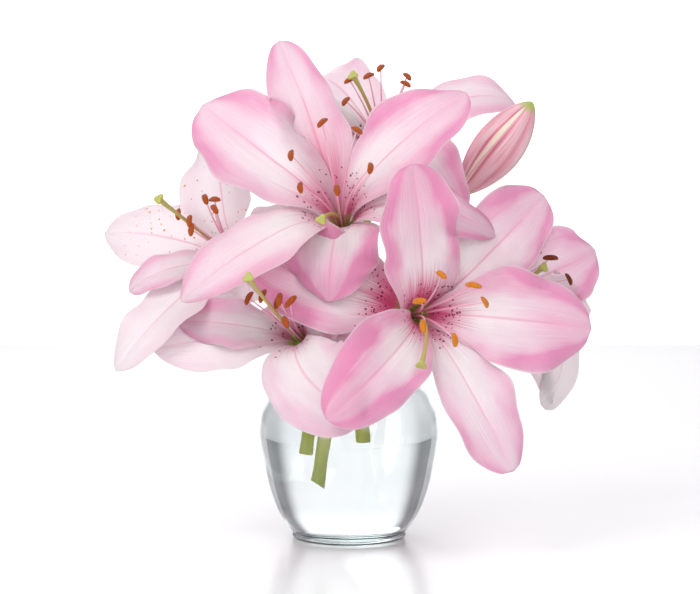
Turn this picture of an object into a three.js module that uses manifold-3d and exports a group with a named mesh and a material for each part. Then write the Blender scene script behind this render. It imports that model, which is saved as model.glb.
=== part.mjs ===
// Lilies in a vase: six open lily flowers and one bud on three stems, standing in a round glass
// vase of water.
// Millimetres, +Z up. The origin is the centre of the vase's flat base; -Y is the front of the bunch.
import * as THREE from 'three';
import Module from 'manifold-3d';
import { mergeVertices } from 'three/addons/utils/BufferGeometryUtils.js';

// ---- driving dimensions ----
const gap = 0.3;                 // clear space kept between pieces that only touch in life
const petalThickness = 1.2;      // petals are given this much body so that they are solids
const petalRows = 7;             // steps along a petal
const petalColumns = 4;          // steps across a petal
const vaseSides = 26;
const waterEdge = 36.8;           // radius of the water's surface
const shoulder = 64;             // height at which the vase is widest
const waterLevel = 92;           // height of the water above the table
const stemRadius = 3.2;
const pedicelRadius = 2.4;       // the short stalk from a stem to its flower
const budLength = 71;
const budRadius = 14.5;

// Half outline of the vase wall as [radius, height]: up the outside to the rim, then down the inside.
const vaseOutside = [
  [0, 0], [32.6, 0], [34.2, 1.4], [34.2, 3.2], [35.0, 4.8], [38.9, 10], [43.0, 17], [46.1, 25],
  [49.0, 35], [50.9, 45], [52.9, 55], [53.7, 64], [52.6, 74], [49.2, 82], [46.0, 88.5], [39.0, 95],
  [32.0, 99], [30.4, 102], [31.4, 106], [34.0, 109.4], [33.4, 110.6],
];
const vaseInside = [
  [31.8, 110.2], [28.8, 106.6], [27.7, 102], [29.4, 97.4], [36.8, 92.8], [43.2, 87], [46.4, 80.6],
  [49.8, 73], [50.9, 64], [50.1, 55], [48.1, 45], [46.2, 35], [43.3, 25.6], [40.0, 18.2], [36.4, 11],
  [32.5, 7], [24, 5.4], [0, 5],
];

// Inner petals are broad and outer petals (the sepals) narrower. Lengths in mm, angles in degrees.
// claw is the width at the base and peak the place of the greatest width, both as shares;
// tip is the roundness of the end; the cup angles say how far the blade's edges curl in.
const kinds = {
  petal: { width: 50, length: 108, r0: 3.4, claw: 0.13, peak: 0.56, tip: 0.52, cup0: 52, cup: 20, roll: -14,
    keel: 0.05, throat: 16 },
  sepal: { width: 36, length: 112, r0: 5.4, claw: 0.2, peak: 0.5, tip: 0.66, cup0: 40, cup: 12, roll: -10,
    keel: 0.045, throat: 20 },
};

// Each flower: base is the throat, turn is how far it faces right of the front, rise how far up, and nod
// how far its anthers tip back.
// A petal: at is its place round the flower seen from the front (0 right, 90 up), open its lean from
// the flower's axis, curl the extra lean at the end and bend its sideways sweep.
// A stamen is [at, spread, length, lie], where lie turns its anther in the flower's face. The pistil's
// style is [at, spread, length].
const flowers = {
  top: {
    base: [-4, -34, 187], turn: -8, rise: 36, nod: 18,
    petals: [
      { kind: 'petal', at: 37, open: 62, curl: 30, length: 113 },
      { kind: 'petal', at: 157, open: 62, curl: 30, length: 114, bend: -16, width: 62, peak: 0.6, tip: 0.42 },
      { kind: 'petal', at: 268, open: 82, curl: 60, length: 67, width: 60, peak: 0.5, tip: 0.75 },
      { kind: 'sepal', at: 110, open: 66, curl: 10, bend: 5, width: 40, length: 117, tip: 0.5 },
      { kind: 'sepal', at: 223, open: 78, curl: 30, length: 122, width: 38 },
      { kind: 'sepal', at: -5, open: 88, curl: 64, length: 108 },
    ],
    stamens: [[102, 20, 73, 70], [52, 20, 72, 125], [167, 20, 67, 105], [0, 22, 62, 80], [215, 20, 58, 110],
      [290, 13, 55, 100]],
    style: [-100, 34, 52],
  },
  right: {
    base: [37, -46, 137], turn: 22, rise: 8, nod: 46,
    petals: [
      { kind: 'petal', at: 107, open: 60, curl: 25, length: 102, bend: -6, width: 52, claw: 0.6 },
      { kind: 'petal', at: -9, open: 66, curl: 25, width: 58, peak: 0.58, tip: 0.44 },
      { kind: 'petal', at: 218, open: 66, curl: 35, length: 115 },
      { kind: 'sepal', at: 41, open: 90, curl: 20, width: 52, length: 114, bend: -2, tip: 0.45 },
      { kind: 'sepal', at: -74, open: 66, curl: 20, length: 114, width: 42, bend: 6, peak: 0.6, tip: 0.42 },
      {
        kind: 'sepal', at: 158, open: 115, curl: 0, width: 60, claw: 0.4, length: 110, cup0: 20, cup: 0,
        throat: 60,
      },
    ],
    stamens: [[115, 18, 62, 110], [45, 14, 62, 140], [5, 16, 62, 60], [-97, 18, 62, 75], [171, 21, 60, 175],
      [209, 22, 60, 100]],
    style: [-122, 40, 67],
  },
  low: {
    base: [-27, -40, 121], turn: -22, rise: 24, nod: 18,
    petals: [
      { kind: 'petal', at: -62, open: 66, curl: 40, width: 54, bend: 38, length: 104 },
      { kind: 'petal', at: 183, open: 60, curl: 30, length: 76, width: 30 },
      { kind: 'petal', at: 50, open: 60, curl: 20, length: 44 },
      { kind: 'sepal', at: 195, open: 70, curl: 20, width: 42, length: 88 },
      { kind: 'sepal', at: 110, open: 88, curl: 20, length: 32 },
      { kind: 'sepal', at: 0, open: 90, curl: 20, length: 50 },
    ],
    stamens: [[155, 13, 56, 90], [120, 8, 54, 90], [50, 8, 52, 100], [30, 14, 50, 60], [-30, 12, 48, 120],
      [80, 8, 45, 90]],
    style: [100, 6, 82],
  },
  left: {
    base: [-62, -8, 164], turn: -35, rise: 26, nod: 14,
    petals: [
      { kind: 'petal', at: 222, open: 42, curl: 60, width: 26, length: 76 },
      { kind: 'petal', at: 98, open: 60, curl: 30, length: 90 },
      { kind: 'petal', at: -50, open: 100, curl: 20, length: 30, bend: -20 },
      { kind: 'sepal', at: 174, open: 66, curl: 30, width: 44, length: 92, bend: 10 },
      { kind: 'sepal', at: 256, open: 66, curl: 30, width: 44, length: 108, bend: -12 },
      { kind: 'sepal', at: 35, open: 100, curl: 20, length: 60 },
    ],
    stamens: [[145, 6, 62, 120], [0, 2, 62, 115], [-38, 7, 62, 110], [61, 16, 62, 125], [47, 20, 62, 168],
      [28, 18, 62, 135]],
    style: [140, 4, 84],
  },
  back: {
    base: [21, 26, 227], turn: -4, rise: 42, nod: 20,
    petals: [
      { kind: 'petal', at: 130, open: 68, curl: 90, length: 88 },
      { kind: 'petal', at: -57, open: 80, curl: 30, length: 98 },
      { kind: 'petal', at: 238, open: 105, curl: 20, length: 70 },
      { kind: 'sepal', at: 17, open: 66, curl: 90, length: 106 },
      { kind: 'sepal', at: 172, open: 66, curl: 30, length: 90 },
      { kind: 'sepal', at: -105, open: 84, curl: 20, length: 64 },
    ],
    stamens: [[150, 20, 62, 60], [120, 12, 62, 60], [90, 20, 62, 75], [40, 20, 62, 105], [20, 15, 62, 120],
      [200, 20, 62, 80]],
    style: [180, 13, 75],
  },
  far: {
    base: [81, 30, 141], turn: 42, rise: 14, nod: 30,
    petals: [
      { kind: 'petal', at: 18, open: 50, curl: 50, length: 84 },
      { kind: 'petal', at: 165, open: 60, curl: 40, length: 62 },
      { kind: 'petal', at: -34, open: 75, curl: 30, length: 110, bend: -120, width: 30 },
      { kind: 'sepal', at: 72, open: 45, curl: 40, length: 74 },
      { kind: 'sepal', at: -18, open: 40, curl: 60, length: 70 },
      { kind: 'sepal', at: -84, open: 65, curl: 30, length: 82, width: 22 },
    ],
    stamens: [[170, 15, 62, 0], [110, 18, 62, 10], [80, 12, 62, 160], [0, 14, 62, 60], [-60, 14, 62, 100],
      [-120, 14, 62, 90]],
    style: [125, 10, 62],
  },
};

const bud = { base: [66, 0, 206], tip: [109, -16, 262] };

// Stems from the cut end in the vase up to where they fork, and the pedicels that leave each fork.
const stems = {
  left: {
    main: [[-20, -4, 53.5], [-18.3, -4.5, 66], [-13, -6, 98], [-12, -8, 112]],
    cut: 0,
    pedicels: [
      { to: 'low', via: [[-12, -8, 110], [-18, -20, 118], [-24, -33, 119.5]] },
      { to: 'left', via: [[-12, -8, 110], [-24, -2, 132], [-44, 8, 152]] },
    ],
  },
  middle: {
    main: [[-14.6, -6, 36], [-11, -5, 62], [-1, -2, 100], [2, 4, 150]],
    cut: 35,
    pedicels: [
      { to: 'top', via: [[2, 4, 146], [2, -4, 165], [-1, -16, 175]] },
      { to: 'back', via: [[2, 4, 146], [8, 26, 180], [18, 42, 208]] },
    ],
  },
  right: {
    main: [[6.3, 6, 58], [6, 5.5, 72], [9, 4, 100], [16, 2, 124]],
    cut: 0,
    pedicels: [
      { to: 'right', via: [[15, 2, 121], [20, -8, 132], [30, -28, 135]] },
      { to: 'far', via: [[15, 2, 121], [42, 32, 130], [66, 44, 136]] },
      { to: 'bud', via: [[15, 2, 121], [44, 26, 150], [68, 14, 185]] },
    ],
  },
};

// ---- small helpers ----
const wasm = await Module();
wasm.setup();

const radians = (degrees) => (degrees * Math.PI) / 180;
const vec = (a) => new THREE.Vector3(a[0], a[1], a[2]);
const clamp = (x, low, high) => Math.min(Math.max(x, low), high);

// 0 below from, 1 above to, and an S curve between them.
function smooth(from, to, x) {
  const u = clamp((x - from) / (to - from), 0, 1);
  return u * u * (3 - 2 * u);
}

function toManifold(geometry) {
  const bare = new THREE.BufferGeometry();
  bare.setAttribute('position', geometry.getAttribute('position').clone());
  if (geometry.index) bare.setIndex(geometry.index.clone());
  const welded = mergeVertices(bare, 1e-4);
  const vertProperties = Float32Array.from(welded.getAttribute('position').array);
  const triVerts = Uint32Array.from(welded.index.array);
  return new wasm.Manifold(new wasm.Mesh({ numProp: 3, vertProperties, triVerts }));
}

function toGeometry(solid) {
  const mesh = solid.getMesh();
  const geometry = new THREE.BufferGeometry();
  geometry.setAttribute('position', new THREE.BufferAttribute(Float32Array.from(mesh.vertProperties), 3));
  geometry.setIndex(new THREE.BufferAttribute(Uint32Array.from(mesh.triVerts), 1));
  const flat = geometry.toNonIndexed();
  flat.computeVertexNormals();
  return flat;
}

function largestPiece(solid) {
  const pieces = solid.decompose();
  let best = pieces[0];
  for (const piece of pieces) {
    if (piece.volume() > best.volume()) best = piece;
  }
  return best;
}

// Right, up and forward directions of a flower that faces turn degrees right and rise degrees up.
function axesOf(flower) {
  const t = radians(flower.turn);
  const r = radians(flower.rise);
  const axis = new THREE.Vector3(Math.sin(t) * Math.cos(r), -Math.cos(t) * Math.cos(r), Math.sin(r));
  const right = new THREE.Vector3(Math.cos(t), Math.sin(t), 0);
  const up = new THREE.Vector3().crossVectors(axis, right);
  return { axis, right, up };
}

function radialOf(axes, degrees) {
  const a = radians(degrees);
  return axes.right.clone().multiplyScalar(Math.cos(a)).addScaledVector(axes.up, Math.sin(a));
}

// ---- petals ----
// The blade's middle line leaves the flower's axis at the throat angle and leans out to open, then curl.
function petalLine(flower, petal, steps) {
  const axes = axesOf(flower);
  const radial = radialOf(axes, petal.at);
  const across = radialOf(axes, petal.at + 90);
  const frames = [];
  const fine = 8;
  const point = vec(flower.base).addScaledVector(radial, petal.r0);
  let last = null;
  for (let i = 0; i <= steps * fine; i += 1) {
    const s = i / (steps * fine);
    const lean = radians(petal.throat + (petal.open - petal.throat) * smooth(0.02, 0.48, s)
      + petal.curl * clamp((s - 0.4) / 0.6, 0, 1) ** 1.4);
    const sweep = radians(petal.bend * smooth(0.15, 1, s));
    const outward = axes.axis.clone().multiplyScalar(Math.cos(lean)).addScaledVector(radial, Math.sin(lean));
    const along = outward.clone().multiplyScalar(Math.cos(sweep)).addScaledVector(across, Math.sin(sweep));
    const side = outward.clone().multiplyScalar(-Math.sin(sweep)).addScaledVector(across, Math.cos(sweep));
    const face = axes.axis.clone().multiplyScalar(Math.sin(lean)).addScaledVector(radial, -Math.cos(lean));
    if (last) {
      const mean = along.clone().add(last).multiplyScalar(0.5);
      point.addScaledVector(mean, petal.length / (steps * fine));
    }
    last = along;
    if (i % fine === 0) frames.push({ s, point: point.clone(), side, face });
  }
  return frames;
}

// Half width of the blade as a share of its greatest half width.
function outlineAt(petal, s) {
  const end = clamp((s - petal.peak) / (1 - petal.peak), 0, 1);
  const share = (petal.claw + (1 - petal.claw) * smooth(0, petal.peak, s)) * (1 - end * end) ** petal.tip;
  return Math.max(share, 0.03);
}

function petalSolid(flower, row, grow) {
  const petal = { bend: 0, ...kinds[row.kind], ...row };
  const frames = petalLine(flower, petal, petalRows);
  const points = [];
  const normals = [];
  for (const frame of frames) {
    const half = (petal.width / 2) * outlineAt(petal, frame.s) + grow;
    const cup = radians(petal.cup0 + (petal.cup - petal.cup0) * smooth(0, 0.4, frame.s)
      + (petal.roll - petal.cup) * smooth(0.4, 1, frame.s));
    for (let j = 0; j <= petalColumns; j += 1) {
      const t = (2 * j) / petalColumns - 1;
      const angle = cup * t;
      const flat = Math.abs(cup) < 1e-3;
      const out = flat ? half * t : (half * Math.sin(angle)) / cup;
      let lift = flat ? 0 : (half * (1 - Math.cos(angle))) / cup;
      lift -= petal.keel * half * Math.exp(-((t / 0.16) ** 2)) * smooth(0.1, 0.3, frame.s);
      points.push(frame.point.clone().addScaledVector(frame.side, out).addScaledVector(frame.face, lift));
      normals.push(frame.face.clone().multiplyScalar(Math.cos(angle))
        .addScaledVector(frame.side, -Math.sin(angle)));
    }
  }
  return slab(points, normals, petalRows + 1, petalColumns + 1, petalThickness / 2 + grow);
}

// A closed slab: the grid pushed both ways along its normals, with its four edges joined.
function slab(points, normals, rows, columns, halfThickness) {
  const positions = [];
  for (const sign of [1, -1]) {
    points.forEach((p, k) => {
      const q = p.clone().addScaledVector(normals[k], sign * halfThickness);
      positions.push(q.x, q.y, q.z);
    });
  }
  const count = rows * columns;
  const index = [];
  const quad = (a, b, c, d) => index.push(a, b, c, a, c, d);
  for (let i = 0; i < rows - 1; i += 1) {
    for (let j = 0; j < columns - 1; j += 1) {
      const a = i * columns + j;
      quad(a, a + 1, a + columns + 1, a + columns);
      quad(count + a, count + a + columns, count + a + columns + 1, count + a + 1);
    }
  }
  for (let i = 0; i < rows - 1; i += 1) {
    const a = i * columns;
    const b = a + columns - 1;
    quad(a, a + columns, count + a + columns, count + a);
    quad(b + columns, b, count + b, count + b + columns);
  }
  for (let j = 0; j < columns - 1; j += 1) {
    const b = (rows - 1) * columns + j;
    quad(j + 1, j, count + j, count + j + 1);
    quad(b, b + 1, count + b + 1, count + b);
  }
  const geometry = new THREE.BufferGeometry();
  geometry.setAttribute('position', new THREE.Float32BufferAttribute(positions, 3));
  geometry.setIndex(index);
  return outwardSolid(geometry);
}

// The same solid with its faces turned outward, whichever way they were wound.
function outwardSolid(geometry) {
  const solid = toManifold(geometry);
  if (solid.volume() > 0) return solid;
  const index = Array.from(geometry.index.array);
  for (let k = 0; k < index.length; k += 3) {
    const keep = index[k];
    index[k] = index[k + 1];
    index[k + 1] = keep;
  }
  geometry.setIndex(index);
  return toManifold(geometry);
}

// ---- tubes and rounded pieces ----
function tube(points, radius, sides, steps) {
  const shape = new THREE.Shape();
  for (let k = 0; k < sides; k += 1) {
    const a = (2 * Math.PI * k) / sides;
    if (k === 0) shape.moveTo(radius * Math.cos(a), radius * Math.sin(a));
    else shape.lineTo(radius * Math.cos(a), radius * Math.sin(a));
  }
  const curve = new THREE.CatmullRomCurve3(points, false, 'centripetal');
  return toManifold(new THREE.ExtrudeGeometry(shape, { steps, extrudePath: curve, bevelEnabled: false }));
}

// A body of revolution about the line from one point towards a direction; profile is [radius, height].
function turned(profile, sides, at, direction) {
  const geometry = new THREE.LatheGeometry(profile.map(([r, h]) => new THREE.Vector2(r, h)), sides);
  const turn = new THREE.Quaternion().setFromUnitVectors(new THREE.Vector3(0, 1, 0), direction);
  geometry.applyQuaternion(turn);
  geometry.translate(at.x, at.y, at.z);
  return outwardSolid(indexed(geometry));
}

function indexed(geometry) {
  const bare = new THREE.BufferGeometry();
  bare.setAttribute('position', geometry.getAttribute('position').clone());
  bare.setIndex(geometry.index.clone());
  return mergeVertices(bare, 1e-4);
}

// Path of a filament or style: it leaves along the flower's axis and leans out towards its place.
function filamentPath(flower, row, start, steps) {
  const axes = axesOf(flower);
  const radial = radialOf(axes, row[0]);
  const point = vec(flower.base).addScaledVector(radial, start);
  const points = [point.clone()];
  const fine = 4;
  let last = axes.axis.clone();
  for (let i = 1; i <= steps * fine; i += 1) {
    const s = i / (steps * fine);
    const lean = radians(row[1] * 1.6 * s ** 0.8);
    const along = axes.axis.clone().multiplyScalar(Math.cos(lean)).addScaledVector(radial, Math.sin(lean));
    point.addScaledVector(along.clone().add(last).multiplyScalar(0.5), row[2] / (steps * fine));
    last = along;
    if (i % fine === 0) points.push(point.clone());
  }
  return { points, radial, along: last };
}

function stamenSolid(flower) {
  const axes = axesOf(flower);
  const collar = [[1.5, -0.4], [2.5, -0.4], [2.5, 1.6], [1.5, 1.6], [1.5, -0.4]];
  let solid = turned(collar, 9, vec(flower.base), axes.axis);
  for (const row of flower.stamens) {
    const path = filamentPath(flower, row, 1.9, 4);
    solid = solid.add(tube(path.points, 0.55, 4, 4));
    const end = path.points[path.points.length - 1];
    const nodding = -Math.tan(radians(flower.nod));
    const lie = radialOf(axes, row[3]).addScaledVector(path.along, nodding).normalize();
    const anther = [[0, -5], [1.5, -3], [1.5, 3], [0, 5]];
    solid = solid.add(turned(anther, 5, end, lie));
  }
  return solid;
}

function pistilSolid(flower) {
  const axes = axesOf(flower);
  const path = filamentPath(flower, flower.style, 0, 6);
  const ovary = [[0, 0.6], [1.2, 0.6], [1.2, 12], [0.9, 14], [0, 14.2]];
  const stigma = [[0, -2.2], [1.7, -1.4], [2.6, 0.8], [2.0, 1.8], [0, 2.0]];
  let solid = tube(path.points, 0.95, 5, 6);
  solid = solid.add(turned(ovary, 6, vec(flower.base), axes.axis));
  return solid.add(turned(stigma, 6, path.points[path.points.length - 1], path.along));
}

// The bud is a pointed spindle with three soft ribs.
function budSolid() {
  const from = vec(bud.base);
  const direction = vec(bud.tip).sub(from).normalize();
  const rings = 8;
  const sides = 12;
  const side = new THREE.Vector3().crossVectors(direction, new THREE.Vector3(0, 0, 1)).normalize();
  const other = new THREE.Vector3().crossVectors(direction, side);
  const positions = [];
  const index = [];
  const put = (p) => positions.push(p.x, p.y, p.z);
  put(from.clone());
  for (let i = 1; i < rings; i += 1) {
    const s = i / rings;
    const radius = budRadius * Math.sin(Math.PI * s ** 1.05) ** 0.65;
    for (let k = 0; k < sides; k += 1) {
      const a = (2 * Math.PI * k) / sides;
      const r = radius * (1 + 0.06 * Math.cos(3 * a));
      put(from.clone().addScaledVector(direction, budLength * s)
        .addScaledVector(side, r * Math.cos(a)).addScaledVector(other, r * Math.sin(a)));
    }
  }
  put(from.clone().addScaledVector(direction, budLength));
  const top = positions.length / 3 - 1;
  for (let k = 0; k < sides; k += 1) {
    const n = (k + 1) % sides;
    index.push(0, 1 + n, 1 + k);
    for (let i = 0; i < rings - 2; i += 1) {
      const a = 1 + i * sides;
      const b = a + sides;
      index.push(a + k, a + n, b + n, a + k, b + n, b + k);
    }
    const z = 1 + (rings - 2) * sides;
    index.push(top, z + k, z + n);
  }
  const geometry = new THREE.BufferGeometry();
  geometry.setAttribute('position', new THREE.Float32BufferAttribute(positions, 3));
  geometry.setIndex(index);
  return outwardSolid(geometry);
}

// Where a pedicel ends: just under the flower's throat, on the flower's axis.
function pedicelEnd(name) {
  if (name === 'bud') {
    const direction = vec(bud.tip).sub(vec(bud.base)).normalize();
    return { at: vec(bud.base).addScaledVector(direction, -gap), direction, seat: 3.2 };
  }
  const { axis } = axesOf(flowers[name]);
  return { at: vec(flowers[name].base).addScaledVector(axis, -1.1), direction: axis, seat: 5.6 };
}

function stemSolid(stem, grow) {
  let solid = tube(stem.main.map(vec), stemRadius + grow, 10, 8);
  for (const branch of stem.pedicels) {
    const end = pedicelEnd(branch.to);
    const neck = end.at.clone().addScaledVector(end.direction, -3);
    const points = [...branch.via.map(vec), neck];
    solid = solid.add(tube(points, pedicelRadius + grow, 6, 8));
    const seat = [[0, -4.4 - grow], [pedicelRadius + grow, -4.4 - grow],
      [end.seat + grow, -1.2], [end.seat + grow, grow], [0, grow]];
    solid = solid.add(turned(seat, 8, end.at, end.direction));
  }
  if (stem.cut > 0) {
    const slope = radians(stem.cut);
    const half = new THREE.Vector3(Math.sin(slope), 0, Math.cos(slope));
    const low = vec(stem.main[0]).addScaledVector(half, 2);
    solid = solid.trimByPlane([half.x, half.y, half.z], half.dot(low) - grow);
  }
  return solid;
}

// ---- the pieces ----
const bunch = new THREE.Group();
bunch.name = 'lilies_in_vase';

const looks = {
  glass: { color: 0xdfe9ea, roughness: 0.03, metalness: 0 },
  water: { color: 0xe6f0f0, roughness: 0.02, metalness: 0 },
  stem: { color: 0x7d9a3c, roughness: 0.55, metalness: 0 },
  petal: { color: 0xf0b4cf, roughness: 0.5, metalness: 0 },
  palePetal: { color: 0xf7e3ee, roughness: 0.5, metalness: 0 },
  bud: { color: 0xd98aac, roughness: 0.5, metalness: 0 },
  stamen: { color: 0xc4561c, roughness: 0.85, metalness: 0 },
  pistil: { color: 0xa9a84a, roughness: 0.6, metalness: 0 },
};

const shapes = [];
function keep(name, solid, look) {
  shapes.push({ name, solid, look });
}

const stemShapes = {};
for (const [name, stem] of Object.entries(stems)) {
  stemShapes[name] = stemSolid(stem, 0);
  keep(`stem_${name}`, stemShapes[name], 'stem');
}

const up = new THREE.Vector3(0, 0, 1);
const centre = new THREE.Vector3(0, 0, 0);
keep('vase', turned([...vaseOutside, ...vaseInside], vaseSides, centre, up), 'glass');

// The water fills the vase's inside to its level, a gap clear of the glass and of each stem.
const wetWall = vaseInside.filter(([, h]) => h < waterLevel).map(([r, h]) => {
  return [Math.max(r - 1.2 * gap, 0), h > shoulder ? h - 1.2 * gap : h + 1.2 * gap];
});
const waterProfile = [...wetWall.reverse(), [waterEdge, waterLevel], [0, waterLevel]];
let water = turned(waterProfile, vaseSides, centre, up);
for (const stem of Object.values(stems)) water = water.subtract(stemSolid(stem, gap));
keep('water', largestPiece(water), 'water');

const trims = [];
for (const [name, flower] of Object.entries(flowers)) {
  const stamens = stamenSolid(flower);
  const pistil = pistilSolid(flower);
  trims.push({ name, stamens, pistil });
  keep(`${name}_stamens`, stamens, 'stamen');
  keep(`${name}_pistil`, pistil, 'pistil');
}

const budShape = budSolid();
keep('bud', budShape, 'bud');

// Petals that would pass through each other are trimmed back a gap from the ones placed before them.
const paleFlowers = ['left', 'far'];
const placed = [];
for (const [name, flower] of Object.entries(flowers)) {
  flower.petals.forEach((row, k) => {
    placed.push({ label: `${name}_${row.kind}_${k % 3 + 1}`, flower, row, pale: paleFlowers.includes(name) });
  });
}
const blockers = [
  ...Object.values(stems).map((stem) => stemSolid(stem, gap)),
  ...trims.flatMap((trim) => [trim.stamens, trim.pistil]),
  budShape,
];
for (const item of placed) {
  let solid = petalSolid(item.flower, item.row, 0);
  const whole = solid.volume();
  for (const other of blockers) solid = solid.subtract(other);
  for (const other of placed) {
    if (other === item || !other.grown) continue;
    solid = solid.subtract(other.grown);
  }
  solid = largestPiece(solid);
  item.grown = petalSolid(item.flower, item.row, gap);
  item.share = solid.volume() / whole;
  keep(item.label, solid, item.pale ? 'palePetal' : 'petal');
}

for (const { name, solid, look } of shapes) {
  const mesh = new THREE.Mesh(toGeometry(solid), new THREE.MeshStandardMaterial(looks[look]));
  mesh.name = name;
  bunch.add(mesh);
}

export default bunch;
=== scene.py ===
import math

import bmesh
import bpy
import numpy as np
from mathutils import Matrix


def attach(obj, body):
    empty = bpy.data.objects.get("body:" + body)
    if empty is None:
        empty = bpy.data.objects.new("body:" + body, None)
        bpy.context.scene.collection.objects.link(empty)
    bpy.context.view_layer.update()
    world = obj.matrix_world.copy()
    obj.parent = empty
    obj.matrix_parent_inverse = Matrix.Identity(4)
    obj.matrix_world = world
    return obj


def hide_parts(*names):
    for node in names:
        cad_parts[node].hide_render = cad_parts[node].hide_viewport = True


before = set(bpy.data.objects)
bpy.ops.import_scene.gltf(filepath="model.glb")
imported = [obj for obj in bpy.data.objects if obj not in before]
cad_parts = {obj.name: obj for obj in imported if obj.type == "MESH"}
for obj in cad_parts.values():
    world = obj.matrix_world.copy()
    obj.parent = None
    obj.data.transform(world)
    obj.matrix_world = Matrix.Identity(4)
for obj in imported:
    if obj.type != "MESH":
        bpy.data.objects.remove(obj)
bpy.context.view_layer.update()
mm = 0.001
print("frame loaded:", len(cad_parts), "nodes")

scene = bpy.context.scene
scene.view_settings.view_transform = "Standard"
scene.cycles.use_denoising = True
scene.cycles.max_bounces = 28
scene.cycles.transmission_bounces = 26
scene.cycles.transparent_max_bounces = 12

cameraSetup = {"place": (0.0006, -1.167, 0.206), "pitch": -3.0, "lens": 100.0}

cameraData = bpy.data.cameras.new("camera")
cameraData.lens = cameraSetup["lens"]
cameraData.sensor_width = 36.0
camera = bpy.data.objects.new("camera", cameraData)
camera.location = cameraSetup["place"]
camera.rotation_euler = (math.radians(90 + cameraSetup["pitch"]), 0, 0)
scene.collection.objects.link(camera)
scene.camera = camera

# Each light: place, what it is aimed at, size and power.
lightSetup = {
    "key": {"place": (-0.75, -1.0, 1.25), "aim": (0, 0, 0.17), "size": 0.8, "power": 10.0},
    "fill": {"place": (0.6, -1.2, 0.8), "aim": (0, 0, 0.17), "size": 1.1, "power": 4.6},
    "back": {"place": (-0.35, 1.1, 0.9), "aim": (0, 0, 0.17), "size": 0.9, "power": 3.0},
    "low": {"place": (-0.55, -1.2, 0.22), "aim": (0, 0, 0.15), "size": 0.7, "power": 2.2},
}


def aimAt(place, target):
    # turns -Z of an object at place towards target
    direction = np.array(target) - np.array(place)
    flat = math.hypot(direction[0], direction[1])
    return (math.atan2(flat, -direction[2]), 0, math.atan2(-direction[0], direction[1]))


for lightName, light in lightSetup.items():
    lightData = bpy.data.lights.new(lightName, "AREA")
    lightData.shape = "DISK"
    lightData.size = light["size"]
    lightData.energy = light["power"]
    lamp = bpy.data.objects.new(lightName, lightData)
    lamp.location = light["place"]
    lamp.rotation_euler = aimAt(light["place"], light["aim"])
    scene.collection.objects.link(lamp)

world = bpy.data.worlds.new("studio")
scene.world = world
world.use_nodes = True
world.node_tree.nodes["Background"].inputs["Color"].default_value = (0.575, 0.555, 0.568, 1)
world.node_tree.nodes["Background"].inputs["Strength"].default_value = 1.0
print("camera and lights set")

def newMaterial(name):
    material = bpy.data.materials.new(name)
    material.use_nodes = True
    return material, material.node_tree


def shaderOf(tree):
    return tree.nodes["Principled BSDF"]


def put(tree, socket, value):
    # a link if value is a socket, or else a number or colour on the socket itself
    if isinstance(value, bpy.types.NodeSocket):
        tree.links.new(value, socket)
    elif hasattr(socket.default_value, "__len__") and not hasattr(value, "__len__"):
        socket.default_value = [value] * len(socket.default_value)
    elif hasattr(socket.default_value, "__len__"):
        socket.default_value = list(value) + [1.0] * (len(socket.default_value) - len(value))
    else:
        socket.default_value = value


def calc(tree, operation, a, b=0.0, c=0.0, clampIt=False):
    node = tree.nodes.new("ShaderNodeMath")
    node.operation = operation
    node.use_clamp = clampIt
    for socket, value in zip(node.inputs, (a, b, c)):
        put(tree, socket, value)
    return node.outputs[0]


def ease(tree, value, low, high, toLow=0.0, toHigh=1.0):
    # S curve from toLow to toHigh as value goes from low to high
    node = tree.nodes.new("ShaderNodeMapRange")
    node.interpolation_type = "SMOOTHSTEP"
    for name, number in (("From Min", low), ("From Max", high), ("To Min", toLow), ("To Max", toHigh)):
        put(tree, node.inputs[name], number)
    put(tree, node.inputs["Value"], value)
    return node.outputs[0]


def blendColor(tree, factor, a, b, mode="MIX"):
    node = tree.nodes.new("ShaderNodeMix")
    node.data_type = "RGBA"
    node.blend_type = mode
    put(tree, node.inputs[0], factor)
    put(tree, node.inputs[6], a)
    put(tree, node.inputs[7], b)
    return node.outputs[2]


def vector(tree, x=0.0, y=0.0, z=0.0):
    node = tree.nodes.new("ShaderNodeCombineXYZ")
    for socket, value in zip(node.inputs, (x, y, z)):
        put(tree, socket, value)
    return node.outputs[0]


def split(tree, value):
    node = tree.nodes.new("ShaderNodeSeparateXYZ")
    put(tree, node.inputs[0], value)
    return node.outputs


def uvOf(tree, name):
    node = tree.nodes.new("ShaderNodeUVMap")
    node.uv_map = name
    return split(tree, node.outputs[0])


def objectCoords(tree):
    return tree.nodes.new("ShaderNodeTexCoord").outputs["Object"]


def noise(tree, coords, scale, detail=2.0, rough=0.5):
    node = tree.nodes.new("ShaderNodeTexNoise")
    put(tree, node.inputs["Vector"], coords)
    put(tree, node.inputs["Scale"], scale)
    put(tree, node.inputs["Detail"], detail)
    put(tree, node.inputs["Roughness"], rough)
    return node.outputs["Fac"]


def cells(tree, coords, scale):
    node = tree.nodes.new("ShaderNodeTexVoronoi")
    put(tree, node.inputs["Vector"], coords)
    put(tree, node.inputs["Scale"], scale)
    return node.outputs["Distance"], split(tree, node.outputs["Color"])


def bump(tree, height, strength, distance, below=None):
    node = tree.nodes.new("ShaderNodeBump")
    put(tree, node.inputs["Strength"], strength)
    put(tree, node.inputs["Distance"], distance)
    put(tree, node.inputs["Height"], height)
    if below is not None:
        put(tree, node.inputs["Normal"], below)
    return node.outputs[0]

petalLook = {
    "white": (0.93, 0.80, 0.83),
    "pink": (0.78, 0.23, 0.41),
    "flushAndShade": (0.60, 0.09, 0.22),
    "spot": (0.16, 0.01, 0.05),
    "throat": (0.42, 0.45, 0.10),
    "pollen": (0.72, 0.25, 0.03),
    "under": (0.84, 0.62, 0.70),
    "spotSize": 2.3 * mm,
    "greenRib": (0.50, 0.55, 0.22),
    "rim": (0.80, 0.71, 0.74),  # the thin pale edge
}


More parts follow.
